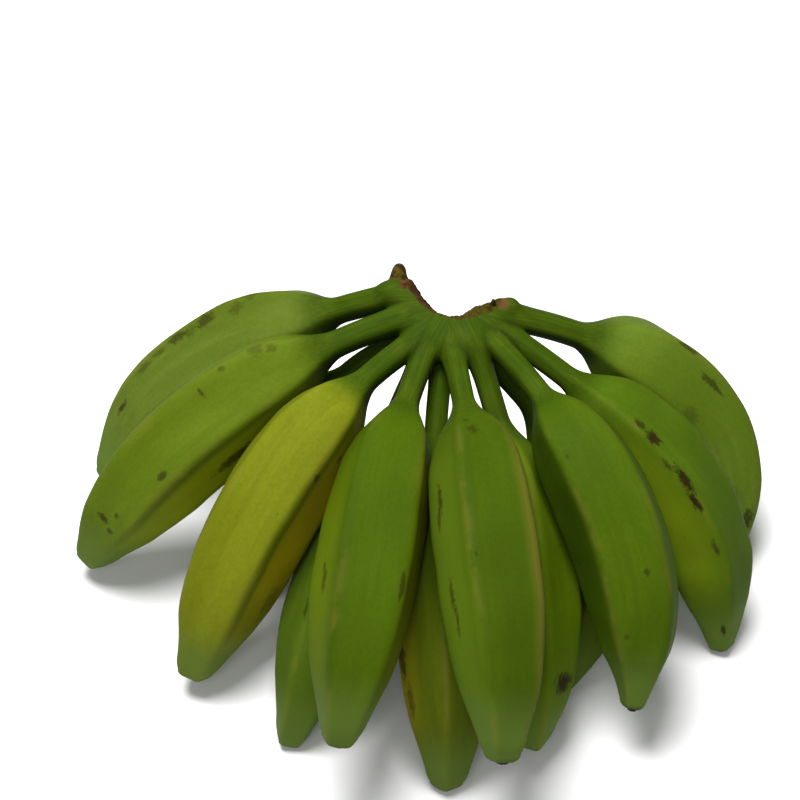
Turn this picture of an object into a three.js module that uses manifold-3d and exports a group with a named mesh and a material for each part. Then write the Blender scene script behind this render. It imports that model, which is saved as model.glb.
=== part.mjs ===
// A cut hand of green plantains: thirteen angular fingers in two rows, grown on one
// crown that was sliced from the bunch stem. The hand lies claw-down on its finger
// tips, with the crown raised at the back. Millimetres, +Z up, floor at z = 0.
import * as THREE from 'three';
import { mergeVertices } from 'three/addons/utils/BufferGeometryUtils.js';
import Module from 'manifold-3d';

const wasm = await Module();
wasm.setup();

// ---- driving dimensions ------------------------------------------------------

const CROWN_CENTRE = new THREE.Vector3(15, 86, 128); // middle of the ring of stalk roots
const CROWN_TILT = 20; // degrees the ring plane dips towards the front
const RING_RADIUS = 27; // stalk roots stand this far from the ring's middle
const ROW_PITCH = 13; // the lower row of roots hangs this far under the upper one
const STUB_LENGTH = 12; // stalk that belongs to the crown, out to the finger's own solid
const ROOT_DEPTH = 1; // how far each stub runs back into the crown
const GAP = 0.3; // clearance between a stub and its finger

// Each finger follows a cubic curve from its root on the ring, past two guide points,
// to its tip. seat: degrees round the ring, 0 at the front and + to the right.
// row: 0 upper, 1 lower. half: half the belly's width. stalk: the stalk's radius.
// neck: the stalk's length. turn: degrees that the first flat face is turned about
// the curve.
const FINGERS = [
  { name: 'finger_01', seat: -105, row: 0, rise: [-69, 102, 105], fall: [-135, 118, 50],
    tip: [-165, 80, 3.2], half: 25, stalk: 7, neck: 36, turn: -32 },
  { name: 'finger_02', seat: -76, row: 0, rise: [-81, 57, 119], fall: [-138.5, 24, 71],
    tip: [-167.5, 22, 10], half: 24.5, stalk: 7, neck: 35, turn: -34 },
  { name: 'finger_03', seat: -46, row: 0, rise: [-60, 16, 122], fall: [-87.5, -26, 72],
    tip: [-110, -50, 11], half: 24, stalk: 6.4, neck: 33, turn: -21 },
  { name: 'finger_04', seat: -30, row: 0, rise: [-22, -1, 106], fall: [-25, -90, 110],
    tip: [-36, -119, 56], half: 23.5, stalk: 6.2, neck: 30, turn: -17 },
  { name: 'finger_05', seat: 1, row: 0, rise: [25.5, -7, 121], fall: [38, -85, 107],
    tip: [37, -127, 56], half: 24, stalk: 5.8, neck: 31, turn: -15 },
  { name: 'finger_06', seat: 25, row: 0, rise: [54, 11, 60], fall: [55, -79, 76],
    tip: [53, -88, 13], half: 21.5, stalk: 5.8, neck: 35, turn: -40 },
  { name: 'finger_07', seat: 48, row: 0, rise: [72, -1, 136], fall: [110, -38, 88],
    tip: [99, -82, 33], half: 23, stalk: 6.2, neck: 43, turn: 13 },
  { name: 'finger_08', seat: 63, row: 0, rise: [101, 32, 106], fall: [141, 16, 76],
    tip: [149, -23, 1], half: 23, stalk: 6, neck: 40, turn: -10 },
  { name: 'finger_09', seat: 81, row: 0, rise: [114, 81, 110], fall: [167, 92, 46],
    tip: [147, 18, 4.9], half: 25, stalk: 7, neck: 38, turn: 38 },
  { name: 'finger_10', seat: -60, row: 1, rise: [-56, 72, 102], fall: [-80, 40, 28],
    tip: [-98, -2, 3.3], half: 19, stalk: 5.8, neck: 34, turn: 0 },
  { name: 'finger_11', seat: -36, row: 1, rise: [-35, 24, 52], fall: [-48, -73, 54],
    tip: [-62, -80, 0], half: 20, stalk: 5.4, neck: 32, turn: -34 },
  { name: 'finger_12', seat: -12, row: 1, rise: [0, 3, 67], fall: [16, -90, 61],
    tip: [13, -103, 0], half: 22, stalk: 5.8, neck: 33, turn: -40 },
  { name: 'finger_13', seat: 38, row: 1, rise: [89, 60, 46], fall: [97, -22, 50],
    tip: [63, -50, 1.5], half: 19.5, stalk: 5.4, neck: 32, turn: 10 },
];

// Girth along a finger. The stalk flares slightly at the root. Past the neck it swells
// over the shoulder to the belly, as [share of the way from neck to belly, share of
// the swelling], then it tapers to a blunt bottle-neck tip, as [share of the
// finger's length, share of the belly's width].
const BELLY = 0.52;
const FLARE = [[0, 1.12], [0.08, 1]];
const SHOULDER = [[0, 0], [0.1, 0.16], [0.19, 0.4], [0.31, 0.66], [0.48, 0.85], [0.72, 0.96], [1, 1]];
const TAPER = [
  [BELLY, 1], [0.6, 1], [0.68, 0.975], [0.76, 0.91], [0.83, 0.785], [0.89, 0.62], [0.935, 0.49],
  [0.97, 0.415], [1, 0.22],
];

// A finger's section: flat faces with rounded ridges between them, a little uneven.
const FACE_ANGLES = [0, 75, 141, 216, 290]; // degrees of the five faces' middles
const FACE_SHARE = 0.92; // distance to a face, as a share of the half width
const STALK_EDGE = 5; // how crisp the ridges are on the stalk
const BELLY_EDGE = 20; // and on the belly
const TIP_EDGE = 9; // and at the tip
const POINTS_PER_FACE = 3;
const FRAME_STEPS = 40; // steps that carry the section's direction down a finger

// The crown: a curved pad that carried the stalk roots, with its inner side sliced
// off along the round bunch stem, open at the back.
const PAD_FROM = -122; // degrees round the ring where the pad starts, on the left
const PAD_TO = 94; // and where it ends, on the right
const PAD_STEPS = 16;
const PAD_SECTION = [
  [6, 9], [25, 7.5], [30, 4], [32, -2], [32, -11], [30, -17], [25, -21], [6, -21],
]; // [distance from the ring's middle, height over the upper roots]
const PAD_END_SHARE = 0.72; // height of the pad's two ends, as a share of its middle's
const PAD_ROUNDING = 0.5; // under 1, so that the pad thins only close to its ends
const STEM_RADIUS = 24; // the bunch stem that was cut away, at the height of the upper roots
const STEM_SLANT = 0.38; // the cut flares out by this much for each millimetre up
const STEM_BACK = 18; // the stem's middle lies this far behind the ring's middle
const STEM_RIGHT = 3.5; // and this far to its right
const STEM_SIDES = 40;
const STEM_HALF_HEIGHT = 45;
const NUB_RADII = [3.6, 4.6, 4.4, 3.4, 1.8]; // torn nub left on the pad's left end
const NUB_START = [-27, 9, -4];
const NUB_STEP = [0.2, 2.6, 2.4];
const NUB_SIDES = 8;

const FLOOR_SIZE = 600;
const FLOOR_DEPTH = 40;

const WELD = 1e-4; // vertices closer than this are one vertex

// ---- solids ------------------------------------------------------------------

const rad = THREE.MathUtils.degToRad;

// A closed mesh as a manifold solid.
function solidOf(geometry) {
  const bare = geometry.clone();
  bare.deleteAttribute('normal');
  bare.deleteAttribute('uv');
  const merged = mergeVertices(bare, WELD);
  const mesh = new wasm.Mesh({
    numProp: 3,
    vertProperties: new Float32Array(merged.attributes.position.array),
    triVerts: new Uint32Array(merged.index.array),
  });
  return new wasm.Manifold(mesh);
}

// A manifold solid as a three.js geometry.
function geometryOf(solid) {
  const mesh = solid.getMesh();
  const geometry = new THREE.BufferGeometry();
  geometry.setAttribute('position', new THREE.BufferAttribute(mesh.vertProperties, 3));
  geometry.setIndex(new THREE.BufferAttribute(mesh.triVerts, 1));
  geometry.computeVertexNormals();
  return geometry;
}

// A closed skin over rings of points, all with the same count, with a fan at each end.
function loft(rings) {
  const sides = rings[0].length;
  const points = rings.flat();
  const faces = [];
  for (let ring = 0; ring + 1 < rings.length; ring += 1) {
    for (let side = 0; side < sides; side += 1) {
      const next = (side + 1) % sides;
      const a = ring * sides + side;
      const b = ring * sides + next;
      faces.push(a, b, b + sides, a, b + sides, a + sides);
    }
  }
  for (const [start, flip] of [[0, true], [(rings.length - 1) * sides, false]]) {
    const middle = new THREE.Vector3();
    for (let side = 0; side < sides; side += 1) middle.addScaledVector(points[start + side], 1 / sides);
    points.push(middle);
    const centre = points.length - 1;
    for (let side = 0; side < sides; side += 1) {
      const a = start + side;
      const b = start + ((side + 1) % sides);
      if (flip) faces.push(centre, b, a);
      else faces.push(centre, a, b);
    }
  }
  const geometry = new THREE.BufferGeometry();
  geometry.setFromPoints(points);
  geometry.setIndex(faces);
  return geometry;
}

// ---- fingers -----------------------------------------------------------------

// The value of a list of [place, value] at a place, straight between its points.
function along(list, place) {
  let i = 1;
  while (i < list.length - 1 && list[i][0] < place) i += 1;
  const [x0, y0] = list[i - 1];
  const [x1, y1] = list[i];
  const share = THREE.MathUtils.clamp((place - x0) / (x1 - x0), 0, 1);
  return y0 + (y1 - y0) * share;
}

// A point of the crown's own frame (right, back, up) in the hand's frame.
function crownPoint(right, back, up) {
  const point = new THREE.Vector3(right, back, up);
  return point.applyAxisAngle(new THREE.Vector3(1, 0, 0), rad(CROWN_TILT)).add(CROWN_CENTRE);
}

function curveOf(finger) {
  const right = RING_RADIUS * Math.sin(rad(finger.seat));
  const front = RING_RADIUS * Math.cos(rad(finger.seat));
  const root = crownPoint(right, -front, -ROW_PITCH * finger.row);
  const guides = [finger.rise, finger.fall, finger.tip].map((p) => new THREE.Vector3(...p));
  return new THREE.CubicBezierCurve3(root, ...guides);
}

// Every finger with its curve, its length and the share of it that is stalk.
const fingers = FINGERS.map((finger) => {
  const curve = curveOf(finger);
  const length = curve.getLength();
  return { ...finger, curve, length, neckShare: finger.neck / length };
});

// Where the curve is at a share of its length, its direction, and the two directions
// across it, carried down from the root without twisting. Shares under 0 run straight
// back from the root.
function frameAt(curve, share) {
  const across = new THREE.Vector3(0, 0, 1);
  const steps = Math.max(1, Math.ceil(share * FRAME_STEPS));
  let ahead = curve.getTangentAt(0);
  for (let step = 0; step <= steps; step += 1) {
    ahead = curve.getTangentAt(Math.max(0, (share * step) / steps));
    across.addScaledVector(ahead, -across.dot(ahead)).normalize();
  }
  const place = curve.getPointAt(Math.max(0, share));
  if (share < 0) place.addScaledVector(ahead, share * curve.getLength());
  const aside = new THREE.Vector3().crossVectors(ahead, across);
  return { place, across, aside };
}

// How far the stalk has swelled at a share of the finger's length, from 0 to 1.
function swelling(finger, share) {
  return along(SHOULDER, (share - finger.neckShare) / (BELLY - finger.neckShare));
}

// Half the width at a share of the finger's length.
function girth(finger, share) {
  if (share > BELLY) return finger.half * along(TAPER, share);
  const stalk = finger.stalk * along(FLARE, share);
  return stalk + (finger.half - stalk) * swelling(finger, share);
}

// How crisp the ridges are at a share of the finger's length.
function edgeCrispness(finger, share) {
  if (share > BELLY) return THREE.MathUtils.lerp(BELLY_EDGE, TIP_EDGE, (share - BELLY) / (1 - BELLY));
  return THREE.MathUtils.lerp(STALK_EDGE, BELLY_EDGE, swelling(finger, share));
}

// The angles of a section's points: every ridge, and evenly spaced points between.
function sectionAngles() {
  const ridges = FACE_ANGLES.map((angle, i) => {
    const next = i + 1 < FACE_ANGLES.length ? FACE_ANGLES[i + 1] : FACE_ANGLES[0] + 360;
    return (angle + next) / 2;
  });
  const angles = [];
  ridges.forEach((ridge, i) => {
    const next = i + 1 < ridges.length ? ridges[i + 1] : ridges[0] + 360;
    for (let n = 0; n < POINTS_PER_FACE; n += 1) {
      angles.push(ridge + ((next - ridge) * n) / POINTS_PER_FACE);
    }
  });
  return angles;
}

// How far out a section reaches at an angle, where the middle of a face is at 1. The
// faces blend over the ridges, and the larger the crispness, the sharper they are.
function sectionRadius(angle, crispness) {
  let sum = 0;
  for (const face of FACE_ANGLES) sum += Math.max(0, Math.cos(rad(angle - face))) ** crispness;
  return sum ** (-1 / crispness);
}

// One ring of points round a finger's curve.
function sectionRing(finger, share) {
  const { curve } = finger;
  const { place, across, aside } = frameAt(curve, share);
  const reach = FACE_SHARE * girth(finger, share);
  const crispness = edgeCrispness(finger, share);
  return sectionAngles().map((angle) => {
    const distance = reach * sectionRadius(angle, crispness);
    const turned = rad(angle + finger.turn);
    return place.clone()
      .addScaledVector(across, distance * Math.cos(turned))
      .addScaledVector(aside, distance * Math.sin(turned));
  });
}

// The finger beyond its stub: the rest of the stalk, the body and the tip.
function fingerSolid(finger) {
  const start = (STUB_LENGTH + GAP) / finger.length;
  const shoulder = SHOULDER.map(([way]) => THREE.MathUtils.lerp(finger.neckShare, BELLY, way));
  const taper = TAPER.slice(1).map(([share]) => share);
  const shares = [start, (start + finger.neckShare) / 2, ...shoulder, ...taper];
  return solidOf(loft(shares.map((share) => sectionRing(finger, share))));
}

// The first stretch of a finger's stalk, which stays on the crown.
function stubSolid(finger) {
  const places = [-ROOT_DEPTH, 0, STUB_LENGTH / 2, STUB_LENGTH];
  return solidOf(loft(places.map((place) => sectionRing(finger, place / finger.length))));
}

// ---- crown -------------------------------------------------------------------

// The pad sweeps round the ring and thins towards its two ends.
function padSolid() {
  const rings = [];
  for (let step = 0; step <= PAD_STEPS; step += 1) {
    const share = step / PAD_STEPS;
    const angle = rad(THREE.MathUtils.lerp(PAD_FROM, PAD_TO, share));
    const height = THREE.MathUtils.lerp(PAD_END_SHARE, 1, Math.sin(Math.PI * share) ** PAD_ROUNDING);
    rings.push(PAD_SECTION.map(([distance, up]) => {
      return crownPoint(distance * Math.sin(angle), -distance * Math.cos(angle), up * height);
    }));
  }
  return solidOf(loft(rings));
}

// The bunch stem, upright in the crown's own frame, as the slanting knife cut it away.
function stemSolid() {
  const rings = [-STEM_HALF_HEIGHT, STEM_HALF_HEIGHT].map((up) => {
    return Array.from({ length: STEM_SIDES }, (_, side) => {
      const angle = (2 * Math.PI * side) / STEM_SIDES;
      const radius = STEM_RADIUS + STEM_SLANT * up;
      return crownPoint(
        STEM_RIGHT + radius * Math.cos(angle),
        STEM_BACK + radius * Math.sin(angle),
        up,
      );
    });
  });
  return solidOf(loft(rings));
}

// The torn nub: a short tapering stump, leaning up and back.
function nubSolid() {
  const rings = NUB_RADII.map((radius, ring) => {
    return Array.from({ length: NUB_SIDES }, (_, side) => {
      const angle = (2 * Math.PI * side) / NUB_SIDES;
      return crownPoint(
        NUB_START[0] + NUB_STEP[0] * ring + radius * Math.cos(angle),
        NUB_START[1] + NUB_STEP[1] * ring,
        NUB_START[2] + NUB_STEP[2] * ring - radius * Math.sin(angle),
      );
    });
  });
  return solidOf(loft(rings));
}

function crownSolid() {
  let crown = padSolid();
  for (const finger of fingers) crown = crown.add(stubSolid(finger));
  crown = crown.subtract(stemSolid());
  return crown.add(nubSolid());
}

// ---- the hand ----------------------------------------------------------------

const skin = new THREE.MeshStandardMaterial({ color: '#5f7d22', roughness: 0.5, metalness: 0 });
const crownSkin = new THREE.MeshStandardMaterial({ color: '#56702a', roughness: 0.6, metalness: 0 });

const floorBox = new THREE.BoxGeometry(FLOOR_SIZE, FLOOR_SIZE, FLOOR_DEPTH);
floorBox.translate(0, 0, -FLOOR_DEPTH / 2);
const floor = solidOf(floorBox);

const hand = new THREE.Group();

const crown = new THREE.Mesh(geometryOf(crownSolid()), crownSkin);
crown.name = 'crown';
hand.add(crown);

for (const finger of fingers) {
  const solid = fingerSolid(finger).subtract(floor);
  const mesh = new THREE.Mesh(geometryOf(solid), skin);
  mesh.name = finger.name;
  hand.add(mesh);
}

export default hand;
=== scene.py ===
import math

import bpy
import numpy as np
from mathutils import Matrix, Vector


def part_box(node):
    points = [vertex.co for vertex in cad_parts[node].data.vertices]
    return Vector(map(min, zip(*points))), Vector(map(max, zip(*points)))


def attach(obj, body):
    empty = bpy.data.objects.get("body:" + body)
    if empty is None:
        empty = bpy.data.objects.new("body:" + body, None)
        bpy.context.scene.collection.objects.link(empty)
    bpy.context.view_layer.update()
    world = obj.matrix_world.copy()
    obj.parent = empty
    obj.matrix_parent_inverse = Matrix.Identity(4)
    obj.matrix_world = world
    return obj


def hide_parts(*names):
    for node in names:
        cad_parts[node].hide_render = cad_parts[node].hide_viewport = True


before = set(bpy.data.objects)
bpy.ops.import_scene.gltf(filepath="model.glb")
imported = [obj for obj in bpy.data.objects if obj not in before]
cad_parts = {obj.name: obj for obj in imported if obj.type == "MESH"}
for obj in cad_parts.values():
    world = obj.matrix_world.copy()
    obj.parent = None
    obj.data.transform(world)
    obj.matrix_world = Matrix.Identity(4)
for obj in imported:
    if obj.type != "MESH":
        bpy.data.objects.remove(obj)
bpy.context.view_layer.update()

# ---- camera ------------------------------------------------------------------
# The hand lies on a table and is seen from the front, looking well down on it, through
# a long lens. The camera is still and fully in focus.

EYE = Vector((-0.001, -0.6428, 0.8360))
AIM = Vector((-0.0106, 0.0441, 0.1070))

lens = bpy.data.cameras.new("camera")
lens.sensor_width = 36
lens.lens = 93.75
camera = bpy.data.objects.new("camera", lens)
camera.location = EYE
camera.rotation_mode = "QUATERNION"
camera.rotation_quaternion = (AIM - EYE).to_track_quat("-Z", "Y")
bpy.context.scene.collection.objects.link(camera)
bpy.context.scene.camera = camera

# ---- crown -------------------------------------------------------------------
# The crown is the curved pad of stem tissue that the fingers grew from, sliced off the
# round bunch stem. Its skin is green and fluted, and runs out into the stalks with
# webs between them. The sliced inner face is fibrous and has dried rusty brown.

MM = 0.001
CENTRE = np.array((15.0, 86.0, 128.0))  # the middle of the ring of stalk roots
TILT = math.radians(20)  # the ring dips this much towards the front
RING_RADIUS = 27.0
ROW_PITCH = 13.0
STUB_LENGTH = 12.0

# Each finger sits seat degrees round the ring, in the upper row (0) or the lower (1).
# rise, fall and tip are the guide points that its curve follows from its root,
# half, stalk and neck are half the belly's width, the stalk's radius and where the stalk
# ends, in mm, and turn is how far the section is turned, in degrees.
FINGERS = [
    dict(name="finger_01", seat=-105, row=0, rise=(-69, 102, 105), fall=(-135, 118, 50),
         tip=(-165, 80, 3.2), half=25, stalk=7, neck=36, turn=-32),
    dict(name="finger_02", seat=-76, row=0, rise=(-81, 57, 119), fall=(-138.5, 24, 71),
         tip=(-167.5, 22, 10), half=24.5, stalk=7, neck=35, turn=-34),
    dict(name="finger_03", seat=-46, row=0, rise=(-60, 16, 122), fall=(-87.5, -26, 72),
         tip=(-110, -50, 11), half=24, stalk=6.4, neck=33, turn=-21),
    dict(name="finger_04", seat=-30, row=0, rise=(-22, -1, 106), fall=(-25, -90, 110),
         tip=(-36, -119, 56), half=23.5, stalk=6.2, neck=30, turn=-17),
    dict(name="finger_05", seat=1, row=0, rise=(25.5, -7, 121), fall=(38, -85, 107),
         tip=(37, -127, 56), half=24, stalk=5.8, neck=31, turn=-15),
    dict(name="finger_06", seat=25, row=0, rise=(54, 11, 60), fall=(55, -79, 76),
         tip=(53, -88, 13), half=21.5, stalk=5.8, neck=35, turn=-40),
    dict(name="finger_07", seat=48, row=0, rise=(72, -1, 136), fall=(110, -38, 88),
         tip=(99, -82, 33), half=23, stalk=6.2, neck=43, turn=13, nose=0.78),
    dict(name="finger_08", seat=63, row=0, rise=(101, 32, 106), fall=(141, 16, 76),
         tip=(149, -23, 1), half=23, stalk=6, neck=40, turn=-10, nose=0.86),
    dict(name="finger_09", seat=81, row=0, rise=(114, 81, 110), fall=(167, 92, 46),
         tip=(147, 18, 4.9), half=25, stalk=7, neck=38, turn=38),
    dict(name="finger_10", seat=-60, row=1, rise=(-56, 72, 102), fall=(-80, 40, 28),
         tip=(-98, -2, 3.3), half=19, stalk=5.8, neck=34, turn=0),
    dict(name="finger_11", seat=-36, row=1, rise=(-35, 24, 52), fall=(-48, -73, 54),
         tip=(-62, -80, 0), half=20, stalk=5.4, neck=32, turn=-34),
    dict(name="finger_12", seat=-12, row=1, rise=(0, 3, 67), fall=(16, -90, 61),
         tip=(13, -103, 0), half=22, stalk=5.8, neck=33, turn=-40),
    dict(name="finger_13", seat=38, row=1, rise=(89, 60, 46), fall=(97, -22, 50),
         tip=(63, -50, 1.5), half=19.5, stalk=5.4, neck=32, turn=10),
]

# Girth along a finger: the stalk flares at its root, swells past the neck to the belly,
# then tapers to a blunt bottle-neck tip.
BELLY = 0.52
FLARE = [(0, 1.12), (0.08, 1)]
SHOULDER = [(0, 0), (0.1, 0.16), (0.19, 0.4), (0.31, 0.66), (0.48, 0.85), (0.72, 0.96),
            (1, 1)]
TAPER = [(BELLY, 1), (0.6, 1), (0.68, 0.975), (0.76, 0.91), (0.83, 0.785), (0.89, 0.62),
         (0.935, 0.49), (0.97, 0.415), (1, 0.22)]
SMOOTHING = 0.012  # how far the girth is evened out, as a share of the finger's length
GIRTH_STEPS, GIRTH_REACH = 2401, 60  # fine steps along a finger, and how many even out one

# A finger's section: five flat faces with rounded ridges between them.
FACE_ANGLES = np.radians((0, 75, 141, 216, 290))
FACE_SHARE = 0.92  # how far out the middle of a face is, as a share of the half width
STALK_EDGE, BELLY_EDGE, TIP_EDGE = 5, 20, 9  # how crisp the ridges are
CURVE_STEPS = 2001


def crown_point(right, back, up):
    """A place in the crown's own tilted frame, in the hand's frame."""
    across = back * math.cos(TILT) - up * math.sin(TILT)
    above = back * math.sin(TILT) + up * math.cos(TILT)
    return CENTRE + np.stack((right, across, above), -1)


def in_crown(points):
    """right, back and up of points of the hand's frame."""
    right, across, above = (points - CENTRE).T
    back = across * math.cos(TILT) + above * math.sin(TILT)
    up = above * math.cos(TILT) - across * math.sin(TILT)
    return right, back, up


def follow(finger, places):
    """Where a finger's curve is, places mm from its root, and its direction there, with
    the two directions across it. Places before the root run straight back from it."""
    seat = math.radians(finger["seat"])
    root = crown_point(RING_RADIUS * math.sin(seat), -RING_RADIUS * math.cos(seat),
                       -ROW_PITCH * finger["row"])
    guides = (root, finger["rise"], finger["fall"], finger["tip"])
    p0, p1, p2, p3 = (np.array(guide, float) for guide in guides)

    def curve(t):
        return ((1 - t) ** 3 * p0 + 3 * (1 - t) ** 2 * t * p1 + 3 * (1 - t) * t ** 2 * p2
                + t ** 3 * p3)

    steps = np.linspace(0, 1, CURVE_STEPS)
    gaps = np.linalg.norm(np.diff(curve(steps[:, None]), axis=0), axis=1)
    lengths = np.append(0, np.cumsum(gaps))
    t = np.interp(places, lengths, steps)[:, None]
    ahead = (1 - t) ** 2 * (p1 - p0) + 2 * (1 - t) * t * (p2 - p1) + t ** 2 * (p3 - p2)
    ahead /= np.linalg.norm(ahead, axis=1)[:, None]
    place = curve(t) + np.minimum(places, 0)[:, None] * ahead
    across = np.empty_like(ahead)
    last = np.array((0.0, 0.0, 1.0))
    for i, way in enumerate(ahead):
        last = last - last.dot(way) * way
        last /= np.linalg.norm(last)
        across[i] = last
    return place, ahead, across, np.cross(ahead, across), lengths[-1]


def at(list_of_pairs, places):
    """Values read off a list of (place, value) pairs, straight from pair to pair."""
    return np.interp(places, *np.array(list_of_pairs, float).T)


def swelling(finger, share, length):
    """How far the stalk has swelled, from 0 on the stalk to 1 at the belly."""
    neck = finger["neck"] / length
    return at(SHOULDER, (share - neck) / (BELLY - neck))


def girth(finger, share, length):
    """Half the width at a share of the finger's length, evened out along it."""
    fine = np.linspace(-0.1, 1.1, GIRTH_STEPS)
    stalk = finger["stalk"] * at(FLARE, fine)
    swelled = stalk + (finger["half"] - stalk) * swelling(finger, fine, length)
    wide = np.where(fine > BELLY, finger["half"] * at(TAPER, fine), swelled)
    spread = np.arange(-GIRTH_REACH, GIRTH_REACH + 1) * (fine[1] - fine[0])
    weights = np.exp(-0.5 * (spread / SMOOTHING) ** 2)
    even = np.convolve(np.pad(wide, GIRTH_REACH, "edge"), weights / weights.sum(), "valid")
    return np.interp(share, fine, even)


def crispness(finger, share, length):
    """How crisp the ridges are, softest on the stalk and crispest at the belly."""
    rising = STALK_EDGE + (BELLY_EDGE - STALK_EDGE) * swelling(finger, share, length)
    falling = BELLY_EDGE + (TIP_EDGE - BELLY_EDGE) * (share - BELLY) / (1 - BELLY)
    return np.where(share > BELLY, falling, rising)


def section_reach(angle, crisp):
    """How far out a section reaches at an angle, where the middle of a face is at 1."""
    total = sum(np.maximum(0, np.cos(angle - face)) ** crisp for face in FACE_ANGLES)
    return total ** (-1 / crisp)


GRAIN_SHIFT = np.array((331.0, 173.0, 0.0))


def own_patch(finger):
    """Shifts a finger's grain, so that no two fingers are marked alike."""
    return GRAIN_SHIFT * (1 + FINGERS.index(finger))


# The crown's skin and a finger's skin cross each other gently on the stalk, so no line
# shows where one ends. Each sinks by SINK over that stretch, in mm from the root.
JOIN_FROM, JOIN_TO = 5.0, 17.0
SINK = 0.3
FLUTE_START = 9.0  # the stalks run on over the pad as flutes, in to here from its middle
FLUTE_RISE = 0.4  # how much a flute would rise on the way to the very middle
FLUTE_BEND = 8.0  # mm over which a flute turns in towards the middle
STALK_STEP = 1.5
NEAR = 13.0  # farther than this from a stalk, its distance isn't worked out
FAR = 40.0


def stalk_distance(finger, points):
    """How far points are outside the first part of a finger's stalk, and where they are
    in the stalk's own straightened frame: up, sideways and along it."""
    places = np.arange(FLUTE_START - RING_RADIUS, JOIN_TO + WEB_LENGTH + 0.1, STALK_STEP)
    place, ahead, across, _, length = follow(finger, places)
    inside = np.maximum(-places, 0)[:, None]
    middle = crown_point(0, 0, -ROW_PITCH * finger["row"])
    root = place[0] + inside[0] * ahead[0]
    inward = (root - middle) / RING_RADIUS - ahead[0]
    bent = np.where(inside < FLUTE_BEND, inside ** 2 / 2 / FLUTE_BEND,
                    inside - FLUTE_BEND / 2)
    place = place - bent * inward + FLUTE_RISE * inside / RING_RADIUS * across
    ahead = ahead + np.clip(inside / FLUTE_BEND, 0, 1) * inward
    across = across - (across * ahead).sum(1)[:, None] * ahead
    across = across / np.linalg.norm(across, axis=1)[:, None]
    aside = np.cross(ahead, across)
    outside = np.full(len(points), FAR)
    local = np.zeros((len(points), 3))
    close = ((points > place.min(0) - NEAR) & (points < place.max(0) + NEAR)).all(1)
    near = points[close]
    if not len(near):
        return outside, local
    step = ((place ** 2).sum(1) - 2 * near @ place.T).argmin(1)
    offset = near - place[step]
    beyond = np.einsum("ij,ij->i", offset, ahead[step])
    up = np.einsum("ij,ij->i", offset, across[step])
    side = np.einsum("ij,ij->i", offset, aside[step])
    along = places[step] + beyond
    share = along / length
    crisp = crispness(finger, np.maximum(share, 0), length)
    angle = np.arctan2(side, up) - math.radians(finger["turn"])
    reach = FACE_SHARE * girth(finger, share, length) * section_reach(angle, crisp)
    reach = reach - SINK * np.clip((along - JOIN_FROM) / (JOIN_TO - JOIN_FROM), 0, 2)
    ends = np.maximum(places[0] - along, along - places[-1])
    outside[close] = np.maximum(np.hypot(up, side) - reach, ends)
    local[close] = np.stack((up, side, along), -1)
    return outside, local


def melt(a, b, width):
    """The nearer of two distances, with a fillet of the given width between the shapes."""
    near = np.maximum(width - np.abs(a - b), 0) / width
    return np.minimum(a, b) - near ** 2 * width / 4


PAD_FROM, PAD_TO = math.radians(-122), math.radians(103)  # its two ends, round the ring
PAD_BACK = math.pi * 0.9  # angles past this belong to the pad's left end
PAD_INNER, PAD_OUTER = 2.0, 25.0  # distance from the ring's middle
PAD_LOW, PAD_HIGH = -20.0, 6.5
PAD_ROUND = 8.0  # radius of the pad's edges
PAD_END_SHARE = 0.8  # the pad's height at its ends, as a share of that at its middle
PAD_MELT = 8.0  # how widely the pad melts into the flutes
WEB, WEB_AT_STUB = 3.2, 1.5  # how widely two stalks melt together, on the pad and past it
WEB_LENGTH = 3.0  # how far a web goes on past the join
GROOVE_WIDTH, GROOVE_FROM, GROOVE_OVER = 3, 16, 14  # the painted shade between two stalks deepens on the way out

# The knife went in at a slant, so the sliced face flares out towards its rim. Near the
# rim it leans more on the left, and most on the right.
STEM_RADIUS, STEM_BACK, STEM_RIGHT = 24.0, 18.0, 3.5  # at the height of the upper roots
STEM_SLANT = 0.38
LEAN_DEPTH = 8.0
LEFT_LEAN, LEFT_AT, LEFT_SPREAD = 0.12, 212, 26  # how much, and degrees round the stem
RIGHT_LEAN, RIGHT_AT, RIGHT_SPREAD = 0.7, 296, 21
FIBRES = [(61, 0.2), (97, 0.16), (23, 0.22), (11, 0.2)]  # how many round the stem, how deep
CUT_EDGE = 1.0  # how widely the rim is rounded

# The stump of a flower stalk stands at the crown's left end, and a torn fibre on the right.
# Each is a row of balls in the crown's frame: right, back, up and radius.
STUMP = [(-27.4, 8, -4, 4.4), (-27.4, 11.4, -1.4, 4.6), (-27.2, 14.4, 0.8, 4.2),
         (-27, 17, 2.8, 3.5), (-26.8, 19.2, 4.2, 2.7)]
SHOULDERS = [(-31.4, 7.6, 1.9, 4.8), (27.4, -0.8, 6.2, 3.2)]  # the crown's two blunt ends
TORN = [(18.6, -2.4, 6.8, 1.8), (18.9, -1.2, 8.8, 1.3), (18.9, -0.4, 10.4, 0.8)]
KNOBS = ((SHOULDERS, 5.0), (STUMP, 2.5), (TORN, 1.0))  # and how widely each melts in


def cut_radius(angle, up):
    """The stem's radius where the hand was sliced from it."""
    degrees = np.degrees(angle)
    lean = LEFT_LEAN * np.exp(-0.5 * ((degrees - LEFT_AT) / LEFT_SPREAD) ** 2)
    lean = lean + RIGHT_LEAN * np.exp(-0.5 * ((degrees - RIGHT_AT) / RIGHT_SPREAD) ** 2)
    radius = STEM_RADIUS + STEM_SLANT * up - lean * np.clip(LEAN_DEPTH - up, 0, LEAN_DEPTH)
    for count, depth in FIBRES:
        radius = radius + depth * np.sin(angle * count + 0.5 * np.sin(up * 0.5 + count))
    return radius


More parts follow.
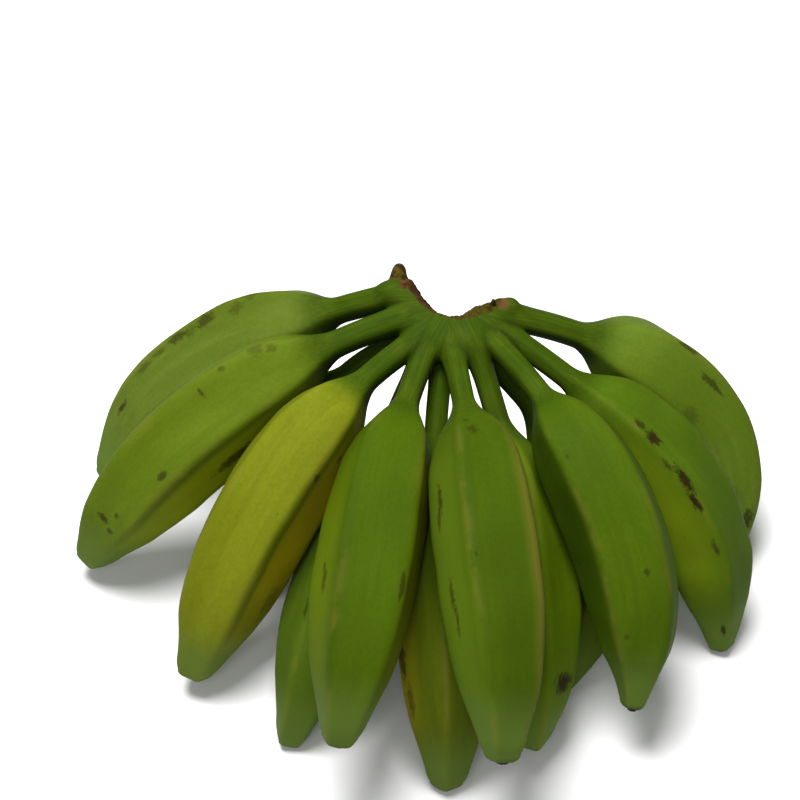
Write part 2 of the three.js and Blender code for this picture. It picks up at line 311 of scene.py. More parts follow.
def crown_distance(points):
    """How far points are outside the crown and outside its sliced face alone, their place
    in the frame of the nearest stalk, and how deep they are in the hollow between two
    stalks, which sets the painted shade there."""
    right, back, up = in_crown(points)
    angle = np.arctan2(right, -back)
    angle = np.where(angle > PAD_BACK, angle - 2 * math.pi, angle)
    out = np.hypot(right, back)
    share = np.clip((angle - PAD_FROM) / (PAD_TO - PAD_FROM), 0, 1)
    height = PAD_END_SHARE + (1 - PAD_END_SHARE) * np.sqrt(np.sin(math.pi * share))
    past_end = np.maximum(PAD_FROM - angle, angle - PAD_TO) * out + PAD_ROUND
    past_side = np.abs(out - (PAD_INNER + PAD_OUTER) / 2) - (PAD_OUTER - PAD_INNER) / 2
    past_side = past_side + PAD_ROUND
    middle, half = (PAD_HIGH + PAD_LOW) / 2, (PAD_HIGH - PAD_LOW) / 2
    past_top = np.abs(up - middle * height) - half * height + PAD_ROUND
    past = np.stack((past_end, past_side, past_top))
    body = np.linalg.norm(np.maximum(past, 0), axis=0) + np.minimum(past.max(0), 0)
    body = body - PAD_ROUND
    ribs = first = second = np.full(len(points), FAR)
    local = np.stack((up, angle * RING_RADIUS, out - RING_RADIUS), -1)
    for finger in FINGERS:
        stalk, place = stalk_distance(finger, points)
        nearer = stalk < first
        second = np.where(nearer, first, np.minimum(second, stalk))
        first = np.minimum(first, stalk)
        local = np.where(nearer[:, None], place + own_patch(finger), local)
        width = WEB + (WEB_AT_STUB - WEB) * np.clip(place[:, 2] / STUB_LENGTH, 0, 1)
        ribs = melt(ribs, stalk, width)
    body = melt(body, ribs, PAD_MELT)
    groove = np.exp(-np.maximum(second - first, 0) / GROOVE_WIDTH)
    groove = groove * np.clip((out - GROOVE_FROM) / GROOVE_OVER, 0, 1)
    stem_angle = np.arctan2(back - STEM_BACK, right - STEM_RIGHT) % (2 * math.pi)
    cut = cut_radius(stem_angle, up) - np.hypot(right - STEM_RIGHT, back - STEM_BACK)
    body = -melt(-body, -cut, CUT_EDGE)
    here = np.stack((right, back, up), -1)
    for knobs, width in KNOBS:
        for x, y, z, radius in knobs:
            body = melt(body, np.linalg.norm(here - (x, y, z), axis=1) - radius, width)
    return body, cut, local, groove


def net_over(distance, low, high, step):
    """The skin where a distance is zero, as points and four-sided faces, one point for each
    small cube that the skin passes through."""
    axes = [np.arange(a, b, step) for a, b in zip(low, high)]
    shape = tuple(len(a) for a in axes)
    grid = np.stack(np.meshgrid(*axes, indexing="ij"), -1)
    value = distance(grid.reshape(-1, 3)).reshape(shape)
    cubes = tuple(n - 1 for n in shape)
    total, count = np.zeros(cubes + (3,)), np.zeros(cubes)
    edges = []
    for axis in range(3):
        near, far = [slice(None)] * 3, [slice(None)] * 3
        near[axis], far[axis] = slice(0, -1), slice(1, None)
        a, b = value[tuple(near)], value[tuple(far)]
        crossing = np.argwhere((a < 0) != (b < 0))
        a, b = a[tuple(crossing.T)], b[tuple(crossing.T)]
        place = grid[tuple(crossing.T)].copy()
        place[:, axis] += step * a / (a - b)
        others = [i for i in range(3) if i != axis]
        ring = []
        for u, v in ((1, 1), (0, 1), (0, 0), (1, 0)):
            cube = crossing.copy()
            cube[:, others[0]] -= u
            cube[:, others[1]] -= v
            cube = np.clip(cube, 0, np.array(cubes) - 1)
            np.add.at(total, tuple(cube.T), place)
            np.add.at(count, tuple(cube.T), 1)
            ring.append(cube)
        edges.append((axis, a < 0, ring))
    number = -np.ones(cubes, int)
    filled = np.argwhere(count > 0)
    number[tuple(filled.T)] = np.arange(len(filled))
    points = total[tuple(filled.T)] / count[tuple(filled.T)][:, None]
    faces = []
    for axis, outwards, ring in edges:
        corners = np.stack([number[tuple(cube.T)] for cube in ring], 1)
        turned = outwards == (axis != 1)
        corners[~turned] = corners[~turned][:, ::-1]
        faces.append(corners)
    return points, np.concatenate(faces)


def settle(points, distance, rounds=3, tiny=0.05, least_slope=0.25, furthest=0.5):
    """Moves points onto the surface where the distance is zero."""
    for _ in range(rounds):
        here = distance(points)
        slope = [(distance(points + tiny * way) - here) / tiny for way in np.eye(3)]
        slope = np.stack(slope, -1)
        steep = np.maximum((slope ** 2).sum(1), least_slope)
        points = points - np.clip(here / steep, -furthest, furthest)[:, None] * slope
    return points


def piece_of(name, points, faces, **marks):
    """A smooth mesh piece from points in mm, with a number or a vector kept at each point."""
    mesh = bpy.data.meshes.new(name)
    mesh.from_pydata(np.round(points * MM, 7).tolist(), [], faces)
    for mark, values in marks.items():
        kind, field = ("FLOAT_VECTOR", "vector") if values.ndim == 2 else ("FLOAT", "value")
        mesh.attributes.new(mark, kind, "POINT").data.foreach_set(field, values.ravel())
    mesh.shade_smooth()
    mesh.update()
    piece = bpy.data.objects.new(name, mesh)
    bpy.context.scene.collection.objects.link(piece)
    return piece


def paint(red, green, blue):
    """A colour as a screen shows it, 0 to 255, made ready for a shader."""
    shown = np.array((red, green, blue)) / 255
    light = np.where(shown <= 0.04045, shown / 12.92, ((shown + 0.055) / 1.055) ** 2.4)
    return (*light.tolist(), 1.0)


class Finish:
    """A material in the making. Each call adds one node and gives back what it puts out."""

    def __init__(self, name, roughness, gloss=0.5):
        self.material = bpy.data.materials.new(name)
        self.material.use_nodes = True
        self.tree = self.material.node_tree
        self.shader = self.tree.nodes["Principled BSDF"]
        self.shader.inputs["Roughness"].default_value = roughness
        self.shader.inputs["Specular IOR Level"].default_value = gloss

    def give(self, socket, value):
        if isinstance(value, bpy.types.NodeSocket):
            self.tree.links.new(value, socket)
        else:
            socket.default_value = value

    def mark(self, name, output="Fac"):
        node = self.tree.nodes.new("ShaderNodeAttribute")
        node.attribute_name = name
        return node.outputs[output]

    def sums(self, operation, first, second=0.0, third=0.0):
        node = self.tree.nodes.new("ShaderNodeMath")
        node.operation = operation
        for socket, value in zip(node.inputs, (first, second, third)):
            self.give(socket, value)
        return node.outputs[0]

    def stretch(self, where, scale, shift=(0, 0, 0)):
        node = self.tree.nodes.new("ShaderNodeMapping")
        self.give(node.inputs["Vector"], where)
        node.inputs["Scale"].default_value = scale
        node.inputs["Location"].default_value = shift
        return node.outputs[0]

    def far_from(self, where, spot, size):
        """How far a place is from a spot, where 1 is the spot's own edge."""
        shift = [-s / w for s, w in zip(spot, size)]
        node = self.tree.nodes.new("ShaderNodeVectorMath")
        node.operation = "LENGTH"
        self.give(node.inputs[0], self.stretch(where, [1 / w for w in size], shift))
        return node.outputs["Value"]

    def noise(self, where, scale, detail=2.0, rough=0.5):
        node = self.tree.nodes.new("ShaderNodeTexNoise")
        self.give(node.inputs["Vector"], where)
        node.inputs["Scale"].default_value = scale
        node.inputs["Detail"].default_value = detail
        node.inputs["Roughness"].default_value = rough
        return node.outputs[0]

    def between(self, value, low, high, to_low=0.0, to_high=1.0):
        node = self.tree.nodes.new("ShaderNodeMapRange")
        node.interpolation_type = "SMOOTHSTEP"
        for socket, given in zip(node.inputs, (value, low, high, to_low, to_high)):
            self.give(socket, given)
        return node.outputs[0]

    def mix(self, amount, first, second):
        node = self.tree.nodes.new("ShaderNodeMix")
        node.data_type = "RGBA"
        self.give(node.inputs[0], amount)
        self.give(node.inputs[6], first)
        self.give(node.inputs[7], second)
        return node.outputs[2]

    def bump(self, height, depth, strength=1.0):
        node = self.tree.nodes.new("ShaderNodeBump")
        node.inputs["Strength"].default_value = strength
        node.inputs["Distance"].default_value = depth
        self.give(node.inputs["Height"], height)
        self.give(self.shader.inputs["Normal"], node.outputs[0])


STALK_GREEN = paint(52, 74, 5)
STALK_PALE = paint(63, 82, 9)
# A deep green for the streaks and mottle, and for the painted shade under the stalks and in
# the hollows between them.
STALK_SHADE = paint(26, 40, 3)
RUST = paint(86, 54, 24)
RUST_DARK = paint(44, 32, 14)
OLIVE_CUT = paint(70, 66, 8)
RAW_PATCH = paint(96, 66, 44)
CORK = paint(76, 64, 18)
SKIN_ROUGHNESS, SKIN_GLOSS = 0.62, 0.03
CUT_ROUGHNESS = 0.85
CUT_RELIEF = 0.0006  # metres, of the torn fibres on the sliced face


def stalk_skin(skin):
    """The green of a stalk, the same on the crown and on a finger, the streaks in it, and
    painted shade on its underside.
    """
    grain = skin.mark("grain", "Vector")
    place = skin.tree.nodes.new("ShaderNodeTexCoord").outputs["Object"]
    blotch = skin.noise(place, 60, 3)
    streak = skin.noise(skin.stretch(grain, (0.9, 0.9, 0.03)), 1.0, 4, 0.65)
    colour = skin.mix(skin.between(blotch, 0.35, 0.65), STALK_GREEN, STALK_PALE)
    colour = skin.mix(skin.between(streak, 0.4, 0.7, 0.35, 0.0), colour, STALK_SHADE)
    # Painted shade: the underside of the stalk is darkened towards the deep green.
    under = skin.between(skin.mark("under"), 0.0, 1.0, 0.0, 0.85)
    colour = skin.mix(under, colour, STALK_SHADE)
    return colour, grain, place, streak


def underside(up, side):
    """How far round towards the underside of a stalk a point is, 0 to 1, which sets the
    painted shade there.
    """
    return np.clip(0.5 - up / np.maximum(np.hypot(up, side), 1e-6), 0, 1)


CROWN_STEP = 0.8  # mm between the points of the skin
CROWN_MARGIN = 7  # how far past the crown's box its skin is looked for
ON_STALK = 20  # a point farther up than this from the nearest stalk isn't on one

# Spots on the crown that have a colour of their own: the middle of each, and how far it
# goes to the right, back and up.
SPOTS = {
    "from_patch": ((24.2, -1.0, 6.0), (3.0, 4, 6)),  # raw flesh, by the right end
    "from_stump": (STUMP[3][:3], (7, 6, 6)),  # cork, all over the stump
    "from_root": ((-23.0, 8.8, 6.5), (4.4, 4.4, 4)),  # a scrape at the stump's foot
    "from_torn": (TORN[1][:3], (1.9, 1.8, 2.2)),  # dark, on the torn fibre
}


def crown_outside(points):
    """How far points are outside the crown."""
    return crown_distance(points)[0]


crown_low, crown_high = (np.array(corner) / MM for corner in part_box("crown"))
points, faces = net_over(crown_outside, crown_low - CROWN_MARGIN, crown_high + CROWN_MARGIN,
                         CROWN_STEP)
points = settle(points, crown_outside)
right, back, up = in_crown(points)
_, cut, local, groove = crown_distance(points)
here = np.stack((right, back, up), -1)
nearest = local - GRAIN_SHIFT * np.round(local[:, :1] / GRAIN_SHIFT[0])
stem_turn = np.degrees(np.arctan2(back - STEM_BACK, right - STEM_RIGHT) % (2 * math.pi))
from_spots = {spot: np.linalg.norm((here - middle) / size, axis=1)
              for spot, (middle, size) in SPOTS.items()}
# Two of the marks kept here carry painted shade: one under each stalk, and one in the hollows
# between stalks.
crown = piece_of("crown_skin", points, faces.tolist(), grain=local,
                 under=(underside(nearest[:, 0], nearest[:, 1])
                        * (np.abs(nearest[:, 0]) < ON_STALK)),
                 groove=groove, from_cut=-cut,
                 stem_place=np.stack((stem_turn, up, up * 0), -1), **from_spots)

skin = Finish("crown_skin", SKIN_ROUGHNESS, SKIN_GLOSS)
colour, _, place, streak = stalk_skin(skin)
# Painted shade: the hollows between the stalks are darkened towards the deep green.
colour = skin.mix(skin.between(skin.mark("groove"), 0.1, 1.0, 0.0, 0.75), colour, STALK_SHADE)

# The sliced face: dark fibres that run up it, rusty on the left and olive on the right,
# with the two colours drifting into each other.
fray = skin.sums("MULTIPLY_ADD", skin.noise(place, 420, 3), 1.6, -0.8)
sliced = skin.between(skin.sums("ADD", skin.mark("from_cut"), fray), 0.3, 0.8, 1.0, 0.0)
stem_place = skin.mark("stem_place", "Vector")
split = skin.tree.nodes.new("ShaderNodeSeparateXYZ")
skin.give(split.inputs[0], stem_place)
blotch = skin.noise(place, 260, 3, 0.6)
fibre = skin.noise(skin.stretch(stem_place, (0.9, 0.12, 0.0)), 1.0, 4, 0.7)
left_face = skin.mix(skin.between(fibre, 0.42, 0.62), RUST, RUST_DARK)
drift = skin.noise(skin.stretch(stem_place, (0.1, 0.1, 0.0)), 1.0, 4, 0.6)
drift = skin.sums("MULTIPLY_ADD", drift, 2.0, -1.0)
depth = skin.sums("MULTIPLY_ADD", drift, 6.0, split.outputs[1])
left_face = skin.mix(skin.between(depth, -3.0, 5.0, 0.9, 0.0), left_face, RUST_DARK)
right_face = skin.mix(skin.between(fibre, 0.42, 0.62), OLIVE_CUT, RUST_DARK)
right_part = skin.between(skin.sums("MULTIPLY_ADD", drift, 50.0, split.outputs[0]), 246, 284)
face = skin.mix(right_part, left_face, right_face)
colour = skin.mix(sliced, colour, face)

# The spots, each with a frayed edge.
loose = skin.sums("MULTIPLY", fray, 0.35)
patched = skin.between(skin.sums("ADD", skin.mark("from_patch"), fray), 0.6, 1.2, 1.0, 0.0)
colour = skin.mix(patched, colour, skin.mix(skin.noise(place, 300, 3), RAW_PATCH, RUST))
scraped = skin.between(skin.sums("ADD", skin.mark("from_root"), loose), 0.7, 1.1, 1.0, 0.0)
colour = skin.mix(scraped, colour, skin.mix(skin.between(blotch, 0.4, 0.6), RUST, RUST_DARK))
corked = skin.between(skin.sums("ADD", skin.mark("from_stump"), loose), 0.75, 1.15, 1.0, 0.0)
colour = skin.mix(corked, colour, skin.mix(skin.between(blotch, 0.4, 0.6), CORK, RUST_DARK))
torn = skin.between(skin.sums("ADD", skin.mark("from_torn"), loose), 0.8, 1.1, 1.0, 0.0)
colour = skin.mix(torn, colour, RUST_DARK)
skin.give(skin.shader.inputs["Base Color"], colour)
skin.give(skin.shader.inputs["Roughness"],
          skin.between(sliced, 0, 1, SKIN_ROUGHNESS, CUT_ROUGHNESS))
rough_face = skin.sums("MULTIPLY", skin.sums("MAXIMUM", sliced, corked), fibre)
skin.bump(skin.sums("MULTIPLY_ADD", streak, 0.4, rough_face), CUT_RELIEF, 0.7)
crown.data.materials.append(skin.material)
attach(crown, "root")
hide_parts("crown")

# ---- fingers -----------------------------------------------------------------
# Each finger is one unripe fruit: a slim stalk, a five-sided body with soft ridges and a
# blunt bottle-neck tip, where the dried end of the flower has left a dark scar. The peel
# is satin green, finely streaked along its length, with tan ridges and brown scuffs.

RINGS = 200
POINTS_PER_FACE = 16
HIDDEN = 4.0  # mm of stalk left out, deep inside the crown
TIP_CUT = 4.6  # the swept part stops this far short of the end, and a dome closes it
# The dome and the flower scar on it: mm past the swept part, and width as a share of its end.
DOME = [(0.9, 0.98), (1.8, 0.93), (2.6, 0.85), (3.3, 0.74), (3.8, 0.62), (4.1, 0.5),
        (4.25, 0.4)]
SCAR_RIM = [(4.3, 0.34), (4.9, 0.32), (5.3, 0.26), (5.1, 0.17), (4.9, 0.07)]
RAGGED = 0.04  # how uneven the scar's rim is
NOSE_FROM, NOSE_TO = 0.87, 0.96  # where a narrower nose sets in, as a share of the length
RIPPLES, RIPPLE = 7, 0.13  # soft hollows and swellings in a body, and mm of each
WANDER, WANDER_TURNS = math.radians(2.5), 1.3  # how the ridges swing as they run down
RIDGE_WIDTH = 0.09  # radians round the finger, of the worn ridges


def finger_piece(finger, seed):
    """A finger's peel: rings of points down its curve, closed by the dome and the scar."""
    draw = np.random.default_rng(seed)
    length = follow(finger, np.zeros(1))[4]
    places = np.linspace(0, length - TIP_CUT, RINGS)
    place, ahead, across, aside, length = follow(finger, places)
    shown = places > HIDDEN
    place, ahead, across, aside, places = (
        a[shown] for a in (place, ahead, across, aside, places))
    share = places / length
    swell = swelling(finger, share, length)[:, None]
    ridges = (FACE_ANGLES + np.append(FACE_ANGLES[1:], FACE_ANGLES[0] + 2 * math.pi)) / 2
    spans = np.append(ridges[1:], ridges[0] + 2 * math.pi) - ridges
    part = np.arange(POINTS_PER_FACE) / POINTS_PER_FACE
    angles = (ridges[:, None] + spans[:, None] * part).ravel()
    from_ridge = (np.minimum(part, 1 - part)[None] * spans[:, None]).ravel()
    reach = FACE_SHARE * girth(finger, share, length)
    reach = reach * at([(NOSE_FROM, 1), (NOSE_TO, finger.get("nose", 1))], share)
    reach = reach - SINK * np.clip((JOIN_TO - places) / (JOIN_TO - JOIN_FROM), 0, 1)
    crisp = crispness(finger, share, length)[:, None]
    radius = reach[:, None] * section_reach(angles[None], crisp)
    for _ in range(RIPPLES):
        wave, turns = draw.uniform(1, 7), draw.integers(0, 4)
        phase = draw.uniform(0, 2 * math.pi, 2)
        rise = np.cos(wave * 2 * math.pi * share[:, None] + phase[0])
        radius = radius + RIPPLE * swell * rise * np.cos(turns * angles[None] + phase[1])
    sway = np.sin(2 * math.pi * WANDER_TURNS * share[:, None] + draw.uniform(0, 6))
    sway = WANDER * swell * sway
    turned = angles[None] + math.radians(finger["turn"]) + sway
    ways = (across[:, None] * np.cos(turned)[..., None]
            + aside[:, None] * np.sin(turned)[..., None])
    rows = [place[:, None] + radius[..., None] * ways]
    flat = [np.stack((radius * np.cos(turned), radius * np.sin(turned),
                      np.broadcast_to(places[:, None], radius.shape)), -1)]
    for past, narrow in DOME + SCAR_RIM:
        ragged = 1 + RAGGED * draw.standard_normal(len(angles)) * (past > DOME[-1][0])
        end = radius[-1] * narrow * ragged
        rows.append((place[-1] + past * ahead[-1] + end[:, None] * ways[-1])[None])
        flat.append(np.stack((end * np.cos(turned[-1]), end * np.sin(turned[-1]),
                              np.full(len(angles), places[-1] + past)), -1)[None])
    points = np.concatenate(rows).reshape(-1, 3)
    points[:, 2] = np.maximum(points[:, 2], 0)
    flat = np.concatenate(flat).reshape(-1, 3)
    sides, extra = len(angles), len(DOME + SCAR_RIM)
    rings = len(places) + extra
    ring, side = np.meshgrid(np.arange(rings - 1), np.arange(sides), indexing="ij")
    a, b = ring * sides + side, ring * sides + (side + 1) % sides
    faces = np.stack((a, b, b + sides, a + sides), -1).reshape(-1, 4).tolist()
    faces.append(list(range((rings - 1) * sides, rings * sides)))
    faces.append(list(range(sides))[::-1])
    swelled = np.repeat(np.append(swell[:, 0], np.ones(extra)), sides)
    turn_there = np.concatenate((turned, np.repeat(turned[-1:], extra, 0))).ravel()
    marks = dict(grain=flat + own_patch(finger), swell=swelled,
                 ridge=np.tile(np.exp(-(from_ridge / RIDGE_WIDTH) ** 2), rings) * swelled,
                 share=flat[:, 2] / length, to_end=flat[:, 2] - places[-1],
                 under=underside(np.cos(turn_there), np.sin(turn_there)))
    face_turn = np.tile(angles + math.radians(finger["turn"]), rings)
    for count, (toward, spread, along, run, *_) in enumerate(TINTS_AND_PAINTED_SHADING.get(finger["name"], ())):
        round_by = (face_turn - math.radians(toward) + math.pi) % (2 * math.pi) - math.pi
        marks[f"tint_and_shading_{count}"] = (np.exp(-(round_by / math.radians(spread)) ** 4)
                                   * np.exp(-((flat[:, 2] - along) / run) ** 4))
    return piece_of(finger["name"] + "_peel", points, faces, **marks)


TIP_GREEN = paint(80, 100, 38)
TAN = paint(106, 94, 36)
SCUFF = paint(40, 32, 10)
SCAR = paint(30, 22, 12)
PEEL_ROUGHNESS = (0.58, 0.68)
PEEL_RELIEF = 0.00025  # metres, of the fine streaks and pores

# Each finger's own ground colour, and the deeper one it is clouded with.
PEELS = {
    "finger_01": (paint(90, 106, 34), paint(74, 91, 19)),
    "finger_02": (paint(90, 109, 24), paint(74, 90, 11)),
    "finger_03": (paint(108, 117, 21), paint(92, 99, 10)),
    "finger_04": (paint(65, 87, 5), paint(56, 76, 4)),
    "finger_05": (paint(66, 87, 7), paint(55, 75, 4)),
    "finger_06": (paint(77, 99, 6), paint(66, 87, 4)),
    "finger_07": (paint(69, 91, 7), paint(55, 76, 4)),
    "finger_08": (paint(72, 96, 14), paint(60, 82, 7)),
    "finger_09": (paint(87, 109, 30), paint(75, 96, 16)),
    "finger_10": (paint(57, 74, 5), paint(43, 60, 3)),
    "finger_11": (paint(69, 89, 18), paint(59, 78, 9)),
    "finger_12": (paint(72, 83, 7), paint(53, 66, 4)),
    "finger_13": (paint(66, 82, 10), paint(50, 66, 6)),
}

# Where the peel turns yellow, brown or another green, and where shade and light are
# painted on, a face or a ridge at a time: degrees round the finger, how widely, mm from the
# root, how far along, how strongly, the colour.
# The yellow-green is the peel's own tint, made lighter as painted light on a shaded face.
YELLOW_GREEN_AND_PAINTED_LIGHT, GOLDEN = paint(124, 136, 6), paint(140, 126, 10)
# The light green is painted light on a face, and the deep green is painted shade.
PAINTED_LIGHT_GREEN, PAINTED_SHADE_GREEN = paint(80, 101, 18), paint(42, 60, 4)
# The deep green rows are painted shade: in creases along ridges, on faces turned from the
# light and over the upper part of finger_12. The light green row is painted light on
# finger_05's left face, and finger_02's yellow-green face is made lighter as painted light.
TINTS_AND_PAINTED_SHADING = {
    "finger_02": [(252, 34, 115, 60, 1.0, YELLOW_GREEN_AND_PAINTED_LIGHT), (288, 7, 115, 60, 0.5, PAINTED_SHADE_GREEN)],
    "finger_03": [(264, 34, 105, 55, 0.8, GOLDEN), (299, 7, 115, 60, 0.6, PAINTED_SHADE_GREEN)],
    "finger_04": [(60, 30, 130, 60, 0.2, YELLOW_GREEN_AND_PAINTED_LIGHT), (273, 30, 120, 60, 0.3, GOLDEN),
                  (20, 7, 120, 70, 0.45, PAINTED_SHADE_GREEN)],
    "finger_05": [(58, 30, 120, 65, 0.8, PAINTED_LIGHT_GREEN), (310, 9, 115, 55, 0.5, TAN),
                  (18, 6, 120, 70, 0.35, PAINTED_SHADE_GREEN), (345, 27, 150, 45, 0.4, PAINTED_SHADE_GREEN)],
    "finger_07": [(88, 32, 90, 60, 0.6, PAINTED_SHADE_GREEN)],
    "finger_08": [(66, 32, 120, 50, 0.3, YELLOW_GREEN_AND_PAINTED_LIGHT)],
    "finger_12": [(0, 180, 55, 60, 0.7, PAINTED_SHADE_GREEN), (75, 35, 140, 40, 0.4, GOLDEN)],
}

# Scars and scuffs: mm from the root, degrees round the finger, length and width in mm,
# and how dark.
MARKS = {
    "finger_01": [(72, 8, 3, 4, 0.35), (80, 356, 4, 4, 0.4), (98, 358, 6, 4, 0.65),
                  (108, 354, 4, 3, 0.35), (117, 357, 7, 3, 0.65), (129, 355, 5, 2, 0.5),
                  (141, 353, 7, 2.5, 0.5), (165, 342, 9, 1.6, 0.8)],
    "finger_02": [(66, 4, 4, 5, 0.4), (60, 356, 3, 3, 0.4), (83, 0, 2, 2, 0.5),
                  (96, 352, 1, 4, 0.7), (133, 306, 3, 2, 0.7), (172, 328, 2, 4, 0.8),
                  (165, 314, 2, 1.5, 0.6), (175, 308, 2, 2, 0.7), (103, 252, 16, 4, 0.8)],
    "finger_03": [(85, 298, 2, 2, 0.6), (72, 278, 2.5, 1.5, 0.6), (150, 250, 12, 5, 0.4)],
    "finger_04": [(135, 50, 6, 2, 0.6), (129, 55, 3, 1.5, 0.5), (135, 310, 8, 1.6, 0.7)],
    "finger_05": [(59, 4, 3, 3, 0.55), (53, 12, 2, 2, 0.4), (87, 68, 8, 2, 0.7),
                  (97, 74, 6, 1.5, 0.6), (132, 66, 9, 1.6, 0.6), (144, 62, 8, 1.4, 0.6),
                  (120, 20, 1.2, 1.2, 0.5)],
    "finger_06": [(58, 302, 7, 3, 0.7), (161, 322, 4.5, 7, 1.0)],
    "finger_07": [(136, 2, 1.6, 1.6, 0.6), (163, 40, 1.4, 1.4, 0.5), (80, 40, 1.4, 1, 0.4)],
    "finger_08": [(76, 22, 3, 2, 0.8), (84, 22, 4.5, 3.5, 1.0), (97, 32, 4, 1.6, 0.6),
                  (106, 26, 8, 2.6, 1.0), (117, 30, 6, 2.2, 1.0), (141, 32, 5, 1.5, 0.7),
                  (189, 42, 6, 1.4, 0.9)],
    "finger_09": [(82, 2, 6, 2, 0.7), (100, 18, 8, 2, 0.7), (101, 66, 6, 5, 0.35),
                  (173, 20, 8, 4, 0.8), (160, 50, 3, 2, 0.5)],
    "finger_11": [(137, 4, 6, 1.5, 0.7)],
    "finger_12": [(143, 60, 14, 2.4, 0.8), (162, 56, 9, 2, 0.6)],
}


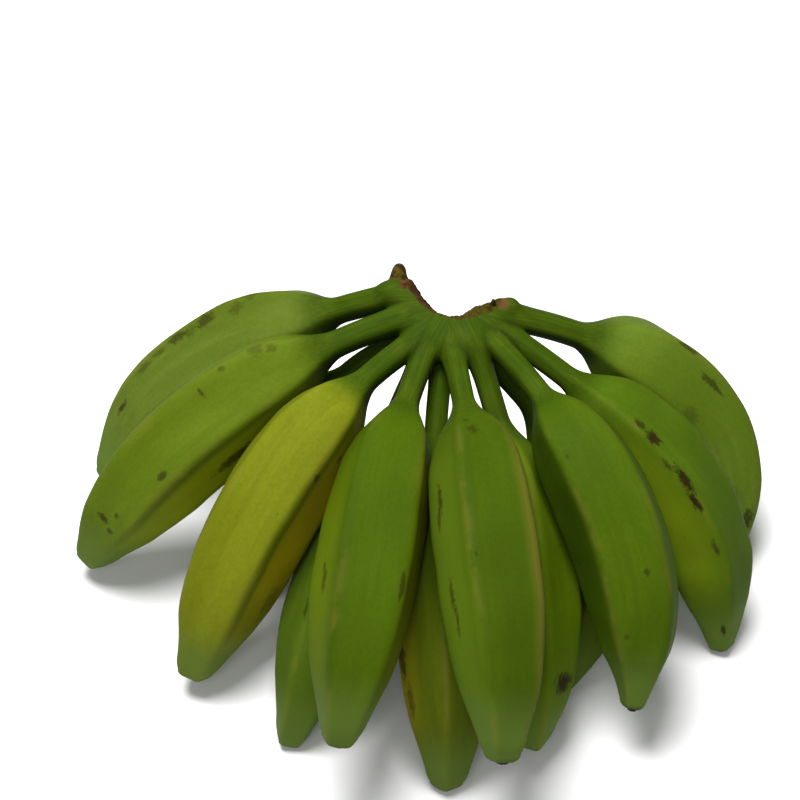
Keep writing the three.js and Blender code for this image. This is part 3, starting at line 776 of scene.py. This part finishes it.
def peel(finger):
    """The peel's material, from the cloudy green out to the scar at the tip."""
    name = finger["name"]
    green, deep = PEELS[name]
    skin = Finish(name + "_peel", SKIN_ROUGHNESS, SKIN_GLOSS)
    stalk, grain, place, streak = stalk_skin(skin)
    share, ridge, swell = skin.mark("share"), skin.mark("ridge"), skin.mark("swell")
    cloud = skin.noise(skin.stretch(grain, (0.03, 0.03, 0.014)), 1.0, 3)
    band = skin.noise(skin.stretch(grain, (0.2, 0.2, 0.008)), 1.0, 2)
    mottle = skin.noise(place, 480, 3, 0.7)

    # The ground colour: clouded, banded and streaked along the finger, with painted
    # shade on its underside.
    colour = skin.mix(skin.between(cloud, 0.35, 0.65, 0.0, 0.8), green, deep)
    colour = skin.mix(skin.between(band, 0.42, 0.62, 0.0, 0.35), colour, deep)
    colour = skin.mix(skin.between(streak, 0.45, 0.7, 0.25, 0.0), colour, deep)
    colour = skin.mix(skin.between(mottle, 0.35, 0.6, 0.1, 0.0), colour, STALK_SHADE)
    colour = skin.mix(skin.between(skin.mark("under"), 0.3, 1.0, 0.0, 0.5), colour, deep)

    # The faces that have turned colour, the painted shade and light on faces and ridges,
    # and the paler tip.
    for count, (*_, amount, tint) in enumerate(TINTS_AND_PAINTED_SHADING.get(name, ())):
        tint_and_shading = skin.sums("MULTIPLY", skin.mark(f"tint_and_shading_{count}"), amount)
        tint_and_shading = skin.sums("MULTIPLY", tint_and_shading, skin.between(cloud, 0.2, 0.5, 0.6, 1.0))
        colour = skin.mix(tint_and_shading, colour, tint)
    colour = skin.mix(skin.between(share, 0.82, 0.94, 0.0, 0.75), colour, TIP_GREEN)

    # Ridges rubbed tan in places, and the body's peel running into the stalk's.
    patchy = skin.noise(skin.stretch(grain, (0.05, 0.05, 0.03)), 1.0, 4, 0.7)
    patchy = skin.sums("MULTIPLY", skin.between(patchy, 0.46, 0.6), 0.3)
    worn = skin.sums("MULTIPLY", ridge, patchy)
    colour = skin.mix(worn, colour, TAN)
    colour = skin.mix(skin.between(swell, 0.05, 0.6, 1.0, 0.0), colour, stalk)

    # Freckles, scars and scuffs, all with ragged edges, and the flower scar at the tip.
    dots = skin.noise(skin.stretch(grain, (0.7, 0.7, 0.5)), 1.0, 3, 0.7)
    colour = skin.mix(skin.between(dots, 0.69, 0.75, 0.0, 0.6), colour, SCUFF)
    ragged = skin.noise(skin.stretch(grain, (0.6, 0.6, 0.35)), 1.0, 5, 0.75)
    fray = skin.sums("MULTIPLY_ADD", ragged, 2.8, -1.4)
    length = follow(finger, np.zeros(1))[4]
    for along, around, long, wide, dark in MARKS.get(name, ()):
        share_there, toward = np.array([along / length]), math.radians(around)
        crisp = crispness(finger, share_there, length)
        reach = section_reach(toward - math.radians(finger["turn"]), crisp)
        out = FACE_SHARE * float((girth(finger, share_there, length) * reach)[0])
        spot = (out * math.cos(toward), out * math.sin(toward), along)
        away = skin.far_from(grain, spot + own_patch(finger), (wide, wide, long))
        away = skin.sums("ADD", away, fray)
        colour = skin.mix(skin.between(away, 0.45, 1.2, dark, 0.0), colour, SCUFF)
    end = skin.sums("ADD", skin.mark("to_end"), skin.sums("MULTIPLY", fray, 0.5))
    colour = skin.mix(skin.between(end, 0.5, 4.0, 0.0, 0.5), colour, SCAR)
    colour = skin.mix(skin.between(end, 2.8, 4.0), colour, SCAR)

    skin.give(skin.shader.inputs["Base Color"], colour)
    roughness = skin.between(streak, 0.3, 0.7, *PEEL_ROUGHNESS)
    skin.give(skin.shader.inputs["Roughness"], roughness)
    skin.bump(skin.sums("MULTIPLY_ADD", mottle, 0.2, streak), PEEL_RELIEF, 0.5)
    return skin.material


FIRST_SEED = 2
for seed, finger in enumerate(FINGERS, FIRST_SEED):
    piece = finger_piece(finger, seed)
    piece.data.materials.append(peel(finger))
    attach(piece, "root")
    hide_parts(finger["name"])

# ---- table and light -----------------------------------------------------------
# A plain white table top, lit softly from overhead and from all round.

TABLE_HALF = 3.0
TABLE_COLOUR, TABLE_ROUGHNESS = (0.9, 0.9, 0.9, 1), 0.8
LIT_PLACE = Vector((0, 0, 0.08))  # where both lights point
ROOM_STRENGTH = 0.26
table_mesh = bpy.data.meshes.new("table_top")
corners = [(x * TABLE_HALF, y * TABLE_HALF, 0)
           for x, y in ((-1, -1), (1, -1), (1, 1), (-1, 1))]
table_mesh.from_pydata(corners, [], [(0, 1, 2, 3)])
table_top = bpy.data.objects.new("table_top", table_mesh)
bpy.context.scene.collection.objects.link(table_top)
white = Finish("table_white", TABLE_ROUGHNESS)
white.shader.inputs["Base Color"].default_value = TABLE_COLOUR
table_mesh.materials.append(white.material)


def soft_light(name, place, size, power):
    lamp = bpy.data.lights.new(name, "AREA")
    lamp.shape = "DISK"
    lamp.size = size
    lamp.energy = power
    light = bpy.data.objects.new(name, lamp)
    light.location = place
    light.rotation_mode = "QUATERNION"
    light.rotation_quaternion = (LIT_PLACE - Vector(place)).to_track_quat("-Z", "Y")
    bpy.context.scene.collection.objects.link(light)


soft_light("overhead_light", (-0.2, 0.1, 1.5), 0.8, 36)
soft_light("front_light", (-0.2, -1.2, 1.3), 0.8, 6)

room = bpy.data.worlds.new("room")
room.use_nodes = True
room.node_tree.nodes["Background"].inputs["Color"].default_value = (1, 1, 1, 1)
room.node_tree.nodes["Background"].inputs["Strength"].default_value = ROOM_STRENGTH
bpy.context.scene.world = room
bpy.context.scene.view_settings.view_transform = "Standard"

bpy.context.view_layer.update()
